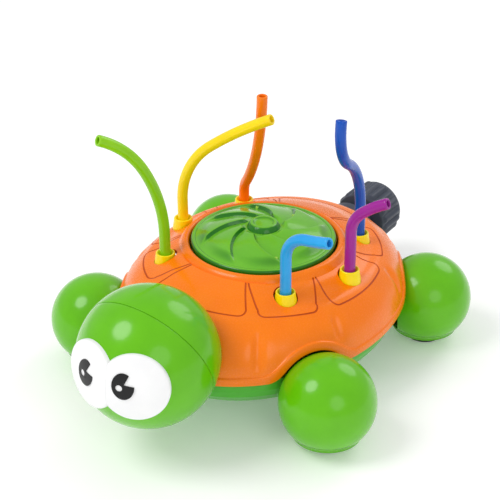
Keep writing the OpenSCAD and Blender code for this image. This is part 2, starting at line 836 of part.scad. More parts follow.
foot(rear_foot_x, rear_foot_y);  // foot_rear_left
foot(-rear_foot_x, rear_foot_y);  // foot_rear_right
foot_cap(front_foot_x, -front_foot_y);  // foot_cap_front_left
foot_cap(-front_foot_x, -front_foot_y);  // foot_cap_front_right
foot_cap(rear_foot_x, rear_foot_y);  // foot_cap_rear_left
foot_cap(-rear_foot_x, rear_foot_y);  // foot_cap_rear_right
foot_pads();
foot_screws();
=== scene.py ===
import math

import bmesh
import bpy
from mathutils import Matrix, Vector


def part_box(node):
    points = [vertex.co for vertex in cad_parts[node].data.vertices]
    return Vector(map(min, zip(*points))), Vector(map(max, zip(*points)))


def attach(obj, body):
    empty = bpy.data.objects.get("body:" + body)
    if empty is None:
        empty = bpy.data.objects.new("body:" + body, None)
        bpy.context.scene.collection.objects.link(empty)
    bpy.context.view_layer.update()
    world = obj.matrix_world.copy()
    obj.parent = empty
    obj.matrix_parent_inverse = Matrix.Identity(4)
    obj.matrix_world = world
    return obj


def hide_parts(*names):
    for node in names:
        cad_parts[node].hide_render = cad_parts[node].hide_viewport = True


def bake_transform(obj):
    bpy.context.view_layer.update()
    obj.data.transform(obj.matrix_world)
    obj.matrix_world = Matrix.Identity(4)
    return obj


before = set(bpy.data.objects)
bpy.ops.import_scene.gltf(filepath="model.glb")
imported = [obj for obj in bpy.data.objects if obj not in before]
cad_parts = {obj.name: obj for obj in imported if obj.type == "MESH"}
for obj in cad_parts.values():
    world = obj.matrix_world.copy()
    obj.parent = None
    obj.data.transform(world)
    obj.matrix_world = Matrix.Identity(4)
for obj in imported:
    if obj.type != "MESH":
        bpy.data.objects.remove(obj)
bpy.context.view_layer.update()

MM = 0.001
TAU = 2 * math.pi
UP = Vector((0, 0, 1))
REARWARD = Vector((0, 1, 0))

# ---- places taken from the frame, in metres ----
COLOURS = ("light_green", "yellow", "orange", "light_blue", "purple", "dark_blue")
FEET = ("front_left", "front_right", "rear_left", "rear_right")

cover_low, cover_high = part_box("spinner_cover")
AXIS = (cover_low + cover_high) / 2
AXIS.z = 0
SPINNER_R = (cover_high.x - cover_low.x) / 2

shell_low, shell_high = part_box("top_shell")
SHELL_X = (shell_high.x - shell_low.x) / 2
SHELL_HALF_WIDTH = 82.6 * MM
SHELL_HALF_LENGTH = 101.8 * MM
STRETCH = SHELL_HALF_LENGTH / SHELL_HALF_WIDTH

head_low, head_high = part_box("head_back")
HEAD_R = (head_high.x - head_low.x) / 2
front_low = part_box("head_front")[0]
HEAD = Vector((0, front_low.y + HEAD_R, head_high.z - HEAD_R))


def foot_place(name):
    """Centre and radius of the ball of a foot."""
    cap_low, cap_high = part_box(f"foot_cap_{name}")
    low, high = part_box(f"foot_{name}")
    x = (cap_low.x + cap_high.x) / 2
    radius = high.x - x if x > 0 else x - low.x
    return Vector((x, (cap_low.y + cap_high.y) / 2, high.z - radius)), radius


FOOT = {name: foot_place(name) for name in FEET}


def socket_place(colour_name):
    """Middle of the mouth of a tube's socket."""
    low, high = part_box(f"socket_{colour_name}")
    return Vector(((low.x + high.x) / 2, (low.y + high.y) / 2, high.z))


SOCKET = {colour_name: socket_place(colour_name) for colour_name in COLOURS}
nut_low, nut_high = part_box("hose_nut")
NUT = Vector((0, nut_low.y, (nut_low.z + nut_high.z) / 2))
NUT_R = (nut_high.x - nut_low.x) / 2
NUT_LEN = nut_high.y - nut_low.y

# ---- sizes of the finish, in metres ----
MERGE = 0.004 * MM
CROWN_TOP = 84.5 * MM
CROWN_R = 159 * MM
SHOULDER_R = 35 * MM
RIM_Z = 38 * MM
SHELL_WALL = 2.4 * MM
OPENING_GAP = 1.2 * MM
HEAD_GAP = 0.45 * MM
LIP_WIDE = 5 * MM
LIP_PROUD = 1 * MM
WELL_R = SPINNER_R + 0.8 * MM
BEAD_OUT = 51.5 * MM
GROOVE_R = 0.55 * MM

# ---- small helpers ----


def smooth(x):
    """A soft step: 0 up to x = 0, and 1 from x = 1 on."""
    x = min(1, max(0, x))
    return x * x * (3 - 2 * x)


def soft_min(a, b, k):
    """The smaller of two values, rounded over where they differ by less than k."""
    h = max(k - abs(a - b), 0) / k
    return min(a, b) - h * h * k / 4


def new_object(name, bm):
    """Makes a shaded object of a bmesh, with its faces outward."""
    bmesh.ops.remove_doubles(bm, verts=bm.verts, dist=MERGE)
    bmesh.ops.recalc_face_normals(bm, faces=bm.faces)
    mesh = bpy.data.meshes.new(name)
    bm.to_mesh(mesh)
    bm.free()
    for face in mesh.polygons:
        face.use_smooth = True
    thing = bpy.data.objects.new(name, mesh)
    bpy.context.scene.collection.objects.link(thing)
    return thing


def grid(columns, rows, place):
    """A grid whose points are moved to place(u, v), with u and v from 0 to 1."""
    bm = bmesh.new()
    bmesh.ops.create_grid(bm, x_segments=columns, y_segments=rows, size=0.5)
    for point in bm.verts:
        point.co = place(point.co.x + 0.5, point.co.y + 0.5)
    bmesh.ops.remove_doubles(bm, verts=bm.verts, dist=MERGE)
    return bm


def turned(profile, steps=96, centre=Vector(), axis=UP):
    """Spins a list of (radius, height) round an axis through centre."""
    bm = bmesh.new()
    points = [bm.verts.new((r, 0, z)) for r, z in profile]
    edges = [bm.edges.new(pair) for pair in zip(points, points[1:])]
    bmesh.ops.spin(bm, geom=points + edges, cent=(0, 0, 0), axis=UP, angle=TAU,
                   steps=steps, use_merge=True)
    bmesh.ops.remove_doubles(bm, verts=bm.verts, dist=MERGE)
    turn = UP.rotation_difference(axis).to_matrix().to_4x4()
    bmesh.ops.transform(bm, matrix=Matrix.Translation(centre) @ turn, verts=bm.verts)
    return bm


def in_mm(form):
    """A profile that is listed in millimetres, as (radius, height) in metres."""
    return [(r * MM, z * MM) for r, z in form]


def arc(cx, cz, radius, start, end, steps):
    """Points of an arc in a profile, angles in degrees."""
    angles = [math.radians(start + (end - start) * i / steps) for i in range(steps + 1)]
    return [(cx + radius * math.cos(a), cz + radius * math.sin(a)) for a in angles]


def apply_modifiers(thing):
    """Turns a piece's modifiers into its mesh."""
    graph = bpy.context.evaluated_depsgraph_get()
    mesh = bpy.data.meshes.new_from_object(thing.evaluated_get(graph))
    thing.modifiers.clear()
    thing.data = mesh


def cut(thing, cutters):
    """Cuts pieces out of a thing one by one, skips a cut that would leave nothing, and removes the pieces."""
    for cutter in cutters:
        step = thing.modifiers.new("cut", "BOOLEAN")
        step.operation = "DIFFERENCE"
        step.solver = "MANIFOLD"
        step.object = cutter
        whole = thing.data
        apply_modifiers(thing)
        if not thing.data.vertices:
            thing.data = whole
    for cutter in cutters:
        bpy.data.objects.remove(cutter)


def sharpen(thing, degrees):
    """Marks edges as sharp where faces meet at more than an angle."""
    bm = bmesh.new()
    bm.from_mesh(thing.data)
    for edge in bm.edges:
        if len(edge.link_faces) == 2:
            edge.smooth = edge.calc_face_angle(0) < math.radians(degrees)
    bm.to_mesh(thing.data)
    bm.free()


def finish_piece(thing, body, material, slot, *nodes):
    """Gives a piece its material and its body, and hides the nodes that it stands for. Its slot is not used.
    """
    if material:
        thing.data.materials.clear()
        thing.data.materials.append(material)
    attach(thing, body)
    if nodes:
        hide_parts(*nodes)
    return thing


# ---- materials ----


class Wire:
    """The output of a node: arithmetic on it adds Math nodes."""

    def __init__(self, tree, socket):
        self.tree = tree
        self.socket = socket

    def math(self, operation, *values):
        return node(self.tree, "ShaderNodeMath", {"operation": operation},
                    dict(enumerate(values)))

    def __add__(self, other):
        return self.math("ADD", self, other)

    __radd__ = __add__

    def __sub__(self, other):
        return self.math("SUBTRACT", self, other)

    def __rsub__(self, other):
        return self.math("SUBTRACT", other, self)

    def __mul__(self, other):
        return self.math("MULTIPLY", self, other)

    __rmul__ = __mul__

    def above(self, edge, soft):
        """0 below an edge and 1 above it, with a soft step."""
        return node(self.tree, "ShaderNodeMapRange", {"interpolation_type": "SMOOTHSTEP"},
                    {0: self, 1: edge - soft, 2: edge + soft, 3: 0.0, 4: 1.0})


def node(tree, kind, settings=None, values=None, out=0):
    """Adds a node: its settings first, then the values or links of its sockets."""
    made = tree.nodes.new(kind)
    for name, value in (settings or {}).items():
        setattr(made, name, value)
    for name, value in (values or {}).items():
        if isinstance(value, Wire):
            tree.links.new(value.socket, made.inputs[name])
        else:
            made.inputs[name].default_value = value
    return Wire(tree, made.outputs[out]) if len(made.outputs) else None


def mix(tree, share, one, two):
    """Goes from colour one to colour two as share goes from 0 to 1."""
    return node(tree, "ShaderNodeMix", {"data_type": "RGBA"}, {0: share, 6: one, 7: two}, out=2)


def colour(red, green, blue):
    """A colour given as it looks on a screen, as the shader's own numbers."""
    return tuple(pow((c / 255 + 0.055) / 1.055, 2.4) if c > 10 else c / 3294
                 for c in (red, green, blue)) + (1.0,)


def start(name):
    """A new material, its empty tree, and the Object coordinates."""
    material = bpy.data.materials.new(name)
    material.use_nodes = True
    tree = material.node_tree
    tree.nodes.clear()
    place = node(tree, "ShaderNodeTexCoord", out=3)
    return material, tree, place


def noise(tree, place, scale, detail=2.0, rough=0.5):
    return node(tree, "ShaderNodeTexNoise", {},
                {"Vector": place, "Scale": scale, "Detail": detail, "Roughness": rough})


def close(tree, base, rough, bump, steady):
    """Ends a material with a Principled shader; steady holds its plain numbers."""
    shader = node(tree, "ShaderNodeBsdfPrincipled", {},
                  {"Base Color": base, "Roughness": rough, "Normal": bump, **steady})
    node(tree, "ShaderNodeOutputMaterial", {}, {"Surface": shader})


# how many waves a metre each pattern of the moulded plastic has
FLOW_MARKS = 60.0
FINE_SPECKS = 900.0
HAIRLINES = 140.0
SKIN_DIMPLES = 420.0
WALL_WAVES = 26.0


def moulded(name, tint, deep, gloss=0.24, grain=0.05, coat=0.12, steep_shade=None):
    """Moulded plastic: faint flow marks in its colour, a fine skin, and hairline wear in its gloss.

    A steep colour of painted shade takes the place of the others where the surface turns away from level.
    """
    material, tree, place = start(name)
    flow = noise(tree, place, FLOW_MARKS, 4.0, 0.6)
    speck = noise(tree, place, FINE_SPECKS, 2.0)
    base = mix(tree, flow.above(0.5, 0.3) * 0.55, tint, deep)
    hair = node(tree, "ShaderNodeTexNoise", {"noise_type": "RIDGED_MULTIFRACTAL"},
                {"Vector": place, "Scale": HAIRLINES, "Detail": 3.0})
    rough = gloss + (speck - 0.5) * 0.06 + hair.above(1.25, 0.25) * 0.05
    dimple = noise(tree, place, SKIN_DIMPLES, 3.0)
    wave = noise(tree, place, WALL_WAVES, 1.0)
    height = dimple * grain + wave * 0.5
    bump = node(tree, "ShaderNodeBump", {}, {"Strength": 0.12, "Distance": 0.4 * MM, "Height": height})
    # painted shade: faces that turn away from level take the darker steep colour
    if steep_shade:
        facing = node(tree, "ShaderNodeNewGeometry", out=1)
        level = node(tree, "ShaderNodeSeparateXYZ", {}, {0: facing}, out=2)
        base = mix(tree, level.above(0.84, 0.13), steep_shade, base)
    close(tree, base, rough, bump, {"Coat Weight": coat, "Coat Roughness": 0.06, "IOR": 1.5,
                                    "Specular IOR Level": 0.28})
    return material


def shade(tint, times):
    """A colour made lighter or darker."""
    return tuple(c * times for c in tint[:3]) + (1.0,)


def rubber(name, tint):
    """Matt rubber with pale dust in patches and a fine grain."""
    material, tree, place = start(name)
    dust = noise(tree, place, 300.0, 5.0, 0.7)
    base = mix(tree, dust.above(0.58, 0.12) * 0.5, tint, shade(tint, 2.2))
    grain = noise(tree, place, 1500.0, 3.0)
    bump = node(tree, "ShaderNodeBump", {}, {"Strength": 0.4, "Distance": 0.1 * MM, "Height": grain})
    close(tree, base, 0.62 + (dust - 0.5) * 0.25, bump, {"Coat Weight": 0.0, "IOR": 1.48})
    return material


def metal(name, tint):
    """Metal with fine upright streaks."""
    material, tree, place = start(name)
    tall = node(tree, "ShaderNodeMapping", {}, {"Vector": place, "Scale": (1.0, 1.0, 0.08)})
    streak = node(tree, "ShaderNodeTexNoise", {}, {"Vector": tall, "Scale": 2600.0, "Detail": 3.0})
    base = mix(tree, streak, tint, shade(tint, 0.7))
    bump = node(tree, "ShaderNodeBump", {}, {"Strength": 0.25, "Distance": 0.05 * MM, "Height": streak})
    close(tree, base, 0.26 + (streak - 0.5) * 0.2, bump, {"Metallic": 1.0})
    return material


# each finish of moulded plastic: two near colours, then gloss, grain, coat and a painted shade colour for
# steep places
MOULDED = {
    "shell_orange": [(255, 128, 0), (250, 116, 0), 0.27, 0.08, 0.14],
    # a darker orange for the faces that the cutters leave: painted shade in the plates' grooves and the
    # socket holes
    "groove_shade_orange": [(205, 82, 8), (188, 72, 6), 0.45, 0.05, 0.035],
    "base_green": [(84, 186, 50), (70, 168, 40), 0.32, 0.05, 0.1225],
    "lime_green": [(104, 192, 10), (92, 178, 6), 0.2, 0.05, 0.1925],
    # the spinner's last colour is painted shade on the blades' steep sides and the rounded band
    "spinner_green": [(112, 190, 44), (92, 172, 40), 0.2, 0.05, 0.175, colour(38, 120, 22)],
    "jet_green": [(176, 220, 84), (160, 210, 64), 0.3, 0.05, 0.1225],
    "socket_yellow": [(255, 232, 6), (250, 218, 0), 0.28, 0.05, 0.1225],
    "eye_white": [(250, 250, 250), (240, 240, 242), 0.22, 0.05, 0.1225],
    "pupil_black": [(8, 8, 9), (14, 14, 16), 0.3, 0.05, 0.1225],
    "slate": [(62, 68, 82), (50, 56, 70), 0.42, 0.6, 0.0175],
    "inner_plastic": [(200, 204, 210), (184, 188, 196), 0.45, 0.05, 0.1225],
    "bush_white": [(240, 240, 236), (228, 228, 222), 0.4, 0.05, 0.1225],
    "tube_light_green": [(148, 212, 26), (128, 196, 12), 0.26, 0.1, 0.14],
    "tube_yellow": [(255, 226, 22), (250, 208, 6), 0.26, 0.1, 0.14],
    "tube_orange": [(255, 132, 8), (244, 112, 0), 0.26, 0.1, 0.14],
    "tube_light_blue": [(48, 170, 240), (24, 148, 226), 0.26, 0.1, 0.14],
    "tube_purple": [(166, 36, 154), (142, 22, 132), 0.26, 0.1, 0.14],
    "tube_dark_blue": [(14, 84, 190), (6, 64, 164), 0.26, 0.1, 0.14],
}
MATERIAL = {name: moulded(name, colour(*tint), colour(*deep), *rest)
            for name, (tint, deep, *rest) in MOULDED.items()}
MATERIAL["rubber_black"] = rubber("rubber_black", colour(34, 34, 36))
MATERIAL["steel"] = metal("steel", colour(200, 202, 206))

# ---- top shell ----

CROWN_Z = CROWN_TOP - CROWN_R
SHOULDER_X = SHELL_X - SHOULDER_R
SHOULDER_Z = CROWN_Z + math.sqrt((CROWN_R - SHOULDER_R) ** 2 - SHOULDER_X ** 2)
TANGENT = math.atan2(SHOULDER_Z - CROWN_Z, SHOULDER_X)


def meridian(t):
    """Radius and height on the dome at an angle from the crown; past a quarter turn it runs down."""
    angle = math.pi / 2 - t
    if angle > TANGENT:
        return CROWN_R * math.cos(angle), CROWN_Z + CROWN_R * math.sin(angle)
    if angle > 0:
        return SHOULDER_X + SHOULDER_R * math.cos(angle), SHOULDER_Z + SHOULDER_R * math.sin(angle)
    return SHELL_X, SHOULDER_Z + SHOULDER_R * angle


def widen(theta):
    """How far the oval reaches in a direction, as a share of its half width."""
    return 1 / math.sqrt(math.cos(theta) ** 2 + (math.sin(theta) / STRETCH) ** 2)


def on_dome(theta, t):
    r, z = meridian(t)
    r *= widen(theta)
    return AXIS + Vector((r * math.cos(theta), r * math.sin(theta), z))


def dome_normal(theta, t):
    """Direction out of the dome, from points close by."""
    h = 0.002
    across = on_dome(theta + h, t) - on_dome(theta - h, t)
    down = on_dome(theta, t + h) - on_dome(theta, t - h)
    return down.cross(across).normalized()


def room(point):
    """Distance from a point of the shell to its lower edge or the nearest opening for a foot."""
    left = point.z - RIM_Z
    for centre, radius in FOOT.values():
        left = soft_min(left, (point - centre).length - radius - OPENING_GAP, 7 * MM)
    return left


def find(theta, wanted, start=0.35, end=1.72):
    """Angle on the meridian at which the room left falls to what is wanted."""
    t = start
    while t < end and room(on_dome(theta, t)) > wanted:
        t += 0.03
    low, high = t - 0.03, t
    for _ in range(18):
        middle = (low + high) / 2
        if room(on_dome(theta, middle)) > wanted:
            low = middle
        else:
            high = middle
    return (low + high) / 2


def dome_angle(r):
    """Angle from the crown at which the dome has a radius."""
    if r < CROWN_R * math.cos(TANGENT):
        return math.asin(r / CROWN_R)
    return math.pi / 2 - math.acos(min(1, (r - SHOULDER_X) / SHOULDER_R))


SHELL_COLUMNS = 420
# the raised ring around the disc: distance out from the well's wall, and height, in mm
BEAD_FORM = [(0, 73), (0, 76), (0, 78.6), (0.25, 79.6), (0.9, 80.5), (1.9, 81), (3.1, 80.9), (4.3, 80.1),
             (5.3, 78.8), (5.9, 77.7)]
BEAD_PROFILE = [(WELL_R + out * MM, height * MM) for out, height in BEAD_FORM]
FACE_STEPS = 74
# the lip along the lower edge: distance from the edge, and the share of its height
LIP_STEPS = [(LIP_WIDE + 0.9 * MM, 0), (LIP_WIDE + 0.35 * MM, 0.1), (LIP_WIDE, 0.6),
             (LIP_WIDE - 0.5 * MM, 0.95), (LIP_WIDE - 1.2 * MM, 1), (LIP_WIDE * 0.5, 1), (0.9 * MM, 1),
             (0.3 * MM, 0.8), (0, 0.35)]
SHELL_ROWS = len(BEAD_PROFILE) + FACE_STEPS + len(LIP_STEPS) - 1

# directions in which the plates meet, with a soft crease below each
GAPS = [math.radians(a) for a in (25, 59, 121, 155, 205, 239, 301, 335)]


def crease(theta, t):
    """Depth of the soft creases, and of the band that carries the plates."""
    depth = 0
    for gap in GAPS:
        away = abs((theta - gap + math.pi) % TAU - math.pi)
        depth += math.exp(-(away / 0.03) ** 2) * 1.5 - math.exp(-((away - 0.075) / 0.05) ** 2) * 0.35
    flat = smooth((t - 0.33) / 0.06) * smooth((0.62 - t) / 0.2)
    return depth * smooth((t - 0.68) / 0.25) * MM + 1.3 * MM * flat


shell_lines = {}


def shell_line(column):
    """The points of the shell along one direction, from the well to the lower edge."""
    if column in shell_lines:
        return shell_lines[column]
    theta = TAU * column / SHELL_COLUMNS
    out = Vector((math.cos(theta), math.sin(theta), 0))
    line = [AXIS + out * r + UP * z for r, z in BEAD_PROFILE]
    top = dome_angle(BEAD_OUT / widen(theta))
    lip = [find(theta, wide) for wide, _ in LIP_STEPS]
    for i in range(FACE_STEPS):
        share = i / FACE_STEPS
        t = top + (lip[0] - top) * share
        normal = dome_normal(theta, t)
        line.append(on_dome(theta, t) - normal * crease(theta, t) * smooth((1 - share) * 6))
    for t, (_, proud) in zip(lip, LIP_STEPS):
        line.append(on_dome(theta, t) + dome_normal(theta, t) * LIP_PROUD * proud)
    shell_lines[column] = line
    return line


def shell_place(u, v):
    """A point of the shell's outer face, as grid asks for it."""
    return shell_line(round(u * SHELL_COLUMNS) % SHELL_COLUMNS)[round(v * SHELL_ROWS)]


def groove_line(points, name):
    """A round cutter along the dome through points (direction in degrees, radius), short of the lip; its
    darker orange is painted shade on the groove's faces.
    """
    curve = bpy.data.curves.new(name, "CURVE")
    curve.dimensions = "3D"
    curve.bevel_depth = GROOVE_R
    curve.bevel_resolution = 3
    curve.use_fill_caps = True
    runs = [[]]
    for degrees, radius in points:
        theta = math.radians(degrees)
        t = dome_angle(radius / widen(theta))
        place = on_dome(theta, t)
        if room(place) < LIP_WIDE + 1.6 * MM or (place - HEAD).length < HEAD_R + 2 * MM:
            runs.append([])
        else:
            runs[-1].append(place + dome_normal(theta, t) * (0.1 * MM - crease(theta, t)))
    for run in runs:
        if len(run) > 2:
            spline = curve.splines.new("POLY")
            spline.points.add(len(run) - 1)
            for point, place in zip(spline.points, run):
                point.co = (*place, 1)
    thing = bpy.data.objects.new(name, curve)
    bpy.context.scene.collection.objects.link(thing)
    bm = bmesh.new()
    bm.from_mesh(bpy.data.meshes.new_from_object(thing))
    bpy.data.objects.remove(thing)
    made = new_object(name, bm)
    # painted shade: the groove's cut faces take this darker orange
    made.data.materials.append(MATERIAL["groove_shade_orange"])
    return made


# each plate: middle direction, then its half angle at the ring and at its outer corners
PLATES = [(0, 21, 22.5), (45, 22, 14.5), (90, 21.5, 25), (135, 22, 14.5),
          (180, 21, 22.5), (225, 22, 14.5), (270, 21.5, 25), (315, 22, 14.5)]


# distance in mm of their outer sides from the middle, at the sides, and what front and rear add to it
PLATE_REACH = 70.5
PLATE_REACH_MORE = 6


def reach(degrees):
    """Distance of the plates' outer sides from the middle of the disc."""
    return (PLATE_REACH + PLATE_REACH_MORE * math.sin(math.radians(degrees)) ** 2) * MM


def plate_outline(middle, inner, outer):
    """Points of a plate's outline: up from the ring on one side, across its outer side, and back."""
    corner = 4.5 * MM
    foot = BEAD_OUT - 0.6 * MM

    def half(side):
        edge = reach(middle + side * outer)
        turn = math.degrees(corner / edge)
        line = []
        for i in range(15):
            share = i / 14
            line.append((middle + side * (inner + (outer - inner) * share),
                         foot + (edge - corner - foot) * share))
        for i in range(1, 8):
            a = math.pi / 2 * i / 8
            bend = middle + side * (outer - turn * (1 - math.cos(a)))
            line.append((bend, reach(bend) - corner * (1 - math.sin(a))))
        return line, outer - turn

    line, stop = half(1)
    back, _ = half(-1)
    across = [middle + stop * (1 - i / 11) for i in range(23)]
    return line + [(a, reach(a)) for a in across] + back[::-1]


# radius and height in mm from a socket's mouth
SOCKET_HOLE = [(0, -14), (7.05, -14), (7.05, 6), (0, 6)]


def make_shell():
    """The orange shell: its wall, the head's opening, the plates' lines and the holes for the sockets."""
    shell = new_object("shell", grid(SHELL_COLUMNS, SHELL_ROWS, shell_place))
    shell.data.materials.append(MATERIAL["shell_orange"])
    wall = shell.modifiers.new("wall", "SOLIDIFY")
    wall.thickness = SHELL_WALL
    wall.offset = -1
    apply_modifiers(shell)
    ball = bmesh.new()
    # turned a little, so that its edges don't line up with the shell's
    turn = Matrix.Rotation(0.12, 4, (1, 0.7, 0.3))
    bmesh.ops.create_uvsphere(ball, u_segments=128, v_segments=64, radius=HEAD_R + HEAD_GAP,
                              matrix=Matrix.Translation(HEAD) @ turn)
    opening = new_object("opening", ball)
    opening.data.materials.append(MATERIAL["shell_orange"])
    cutters = [opening]
    cutters += [groove_line(plate_outline(*plate), f"plate_{i}") for i, plate in enumerate(PLATES)]
    for colour_name in COLOURS:
        hole = new_object("hole", turned(in_mm(SOCKET_HOLE), 48, SOCKET[colour_name]))
        # painted shade: the hole's walls take the darker orange
        hole.data.materials.append(MATERIAL["groove_shade_orange"])
        cutters.append(hole)
    # a slot for the darker orange of the cut faces, which is painted shade
    shell.data.materials.append(MATERIAL["groove_shade_orange"])
    cut(shell, cutters)
    sharpen(shell, 34)
    return finish_piece(shell, "body", None, "shell_orange", "top_shell")


make_shell()

# ---- spinning disc ----

BLADES = 8
BLADE_SWEEP = math.radians(62)
BLADE_H = 2.3 * MM
# places across one blade, with the steep side at the end, and how high each stands
BLADE_FORM = [(0.0, 0.0), (0.06, 0.08), (0.14, 0.2), (0.24, 0.34), (0.34, 0.47), (0.44, 0.6), (0.54, 0.72),
              (0.64, 0.83), (0.73, 0.91), (0.81, 0.97), (0.87, 1.0), (0.915, 0.93), (0.945, 0.6),
              (0.975, 0.18)]
BLADE_COLUMNS = BLADES * len(BLADE_FORM)
BOSS_R = 9.6 * MM
DISC_Z = 81 * MM
DISC_RISE = 7.6 * MM
RINGS = 46
# direction in degrees, and distance in mm from the axis, of each nozzle
JETS = [(15, 19), (75, 25), (130, 31), (195, 22), (255, 29), (315, 34)]
# a nozzle's and the boss's profile: radius, and height above the disc, in mm
JET_FORM = [(0, -0.2), (0.45, -0.2), (0.45, 1.1), (0.75, 1.2), (1.05, 0.95), (1.35, -1.4), (0, -1.4)]
BOSS_FORM = [(0, 2.5), (2.4, 2.45), (4.6, 2.2), (5.4, 2.25), (6.2, 3.1), (6.9, 3.45), (7.8, 3.3), (8.6, 2.6),
             (9.3, 1.4), (9.9, 0.4), (10.4, -0.6), (9.4, -1.6), (7.2, -1.6), (7.2, 0.6), (0, 0.6)]


def disc_height(r):
    """Height of the disc between its blades."""
    return DISC_Z + DISC_RISE * (1 - pow(min(1, r / SPINNER_R), 1.7))


def blade_place(u, v):
    """A point of the disc: its columns follow the sweep of the blades."""
    column = round(u * BLADE_COLUMNS) % BLADE_COLUMNS
    blade, step = divmod(column, len(BLADE_FORM))
    across, tall = BLADE_FORM[step]
    row = round(v * RINGS)
    r = BOSS_R - 0.6 * MM + (SPINNER_R - 2.6 * MM - BOSS_R + 0.6 * MM) * row / RINGS
    far = (r - BOSS_R) / (SPINNER_R - BOSS_R)
    angle = TAU * (blade + across) / BLADES + BLADE_SWEEP * pow(max(0, far), 0.8)
    fade = smooth((r - BOSS_R - 0.5 * MM) / (4 * MM)) * smooth((SPINNER_R - 3.2 * MM - r) / (8 * MM))
    z = disc_height(r) + BLADE_H * tall * fade
    return AXIS + Vector((r * math.cos(angle), r * math.sin(angle), z))


def make_disc():
    """The spinning disc: its blades, its nozzles, the band around it and the boss in its middle."""
    disc = new_object("spinner_blades", grid(BLADE_COLUMNS, RINGS, blade_place))
    wall = disc.modifiers.new("wall", "SOLIDIFY")
    wall.thickness = 1.4 * MM
    wall.offset = -1
    apply_modifiers(disc)
    sharpen(disc, 40)
    finish_piece(disc, "spinner", MATERIAL["spinner_green"], "spinner_green", "spinner_cover")
    for i, (degrees, radius) in enumerate(JETS):
        a = math.radians(degrees)
        place = AXIS + Vector((math.cos(a), math.sin(a), 0)) * radius * MM
        place.z = disc_height(radius * MM) + 0.4 * MM
        jet = new_object(f"jet_hole_{i + 1}", turned(in_mm(JET_FORM), 24, place))
        finish_piece(jet, "spinner", MATERIAL["jet_green"], "spinner_green")
    edge_r = SPINNER_R
    inner = (edge_r - 3.4 * MM, disc_height(edge_r - 3 * MM) - 1.2 * MM)
    rim = [inner,
           (edge_r - 2.9 * MM, disc_height(edge_r - 2.6 * MM) + 0.1 * MM)]
    rim += arc(edge_r - 1.7 * MM, DISC_Z - 0.6 * MM, 1.7 * MM, 110, 0, 8)
    rim += [(edge_r, cover_low.z + 1.0 * MM), (edge_r - 0.3 * MM, cover_low.z + 0.3 * MM),
            (edge_r - 0.9 * MM, cover_low.z + 0.02 * MM), (edge_r - 3 * MM, cover_low.z + 0.02 * MM),
            (edge_r - 3.4 * MM, cover_low.z + 0.5 * MM), inner]
    band = new_object("spinner_rim", turned(rim, 144, AXIS))
    finish_piece(band, "spinner", MATERIAL["spinner_green"], "spinner_green")
    crown = disc_height(BOSS_R)
    boss = [(r, crown + rise) for r, rise in in_mm(BOSS_FORM)]
    cap = new_object("spinner_boss", turned(boss, 96, AXIS))
    finish_piece(cap, "spinner", MATERIAL["spinner_green"], "spinner_green", "spinner_cap")


make_disc()

# ---- tube sockets ----

# radius and height in mm from the mouth: up the bore, and down the flared outside
CUP_BORE = [(3.36, -11), (3.36, -1.6), (3.86, -0.3), (4.5, 0.7)]
CUP_FLARE = [(5.85, 0), (6.05, -1.4), (6.4, -3.2), (6.75, -5.2), (6.9, -7.6), (6.85, -11), (3.36, -11)]


def make_socket(colour_name):
    """A cup with a rolled mouth that flares toward the shell."""
    mouth = arc(5.15 * MM, 0.8 * MM, 0.6 * MM, 150, 0, 8)
    profile = in_mm(CUP_BORE) + mouth + in_mm(CUP_FLARE)
    cup = new_object(f"cup_{colour_name}", turned(profile, 64, SOCKET[colour_name]))
    finish_piece(cup, "body", MATERIAL["socket_yellow"], "socket_yellow", f"socket_{colour_name}")


for colour_name in COLOURS:
    make_socket(colour_name)

# ---- spray tubes ----

TUBE_R = 3.3 * MM
TUBE_BORE = 2 * MM
PIVOT = 6 * MM
RING_GAP = 1.6
# the rounded open end: how far back from the tip in mm, and the radius there
TUBE_MOUTH = [(0.7, TUBE_R), (0.3, TUBE_R - 0.12 * MM), (0.08, TUBE_R - 0.35 * MM), (0, TUBE_R - 0.65 * MM),
              (0.08, TUBE_BORE + 0.25 * MM), (0.4, TUBE_BORE)]
# direction of the bend in degrees, then each [length in mm, turn in degrees] from the pivot
TUBE_BENDS = {
    "light_green": (240, [[7, 0], [47, 29], [36, 38]]),
    "yellow": (11, [[8, 0], [45, 53], [47, 12]]),
    "orange": (323, [[10, 44], [78, -41]]),
    "light_blue": (353, [[17, 0], [23, 81], [17, -7]]),
    "purple": (9, [[20, 0], [15, 51], [18, 16]]),
    "dark_blue": (280, [[10, 0], [51, 61], [39, -75]]),
}


def tube_path(colour_name):
    """Points and headings of a tube's middle line, up from inside its socket."""
    direction, bends = TUBE_BENDS[colour_name]
    side = Vector((math.cos(math.radians(direction)), math.sin(math.radians(direction)), 0))
    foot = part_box(f"tube_root_{colour_name}")[0].z
    place = SOCKET[colour_name].copy()
    rise = place.z + PIVOT - foot
    place.z = foot
    turn = 0.0
    path = [(place.copy(), UP.copy(), side)]
    for length, bend in [[rise / MM, 0]] + bends:
        steps = max(2, round(length / RING_GAP))
        for _ in range(steps):
            turn += math.radians(bend) / steps / 2
            heading = side * math.sin(turn) + UP * math.cos(turn)
            place = place + heading * length * MM / steps
            turn += math.radians(bend) / steps / 2
            path.append((place.copy(), side * math.sin(turn) + UP * math.cos(turn), side))
    return path


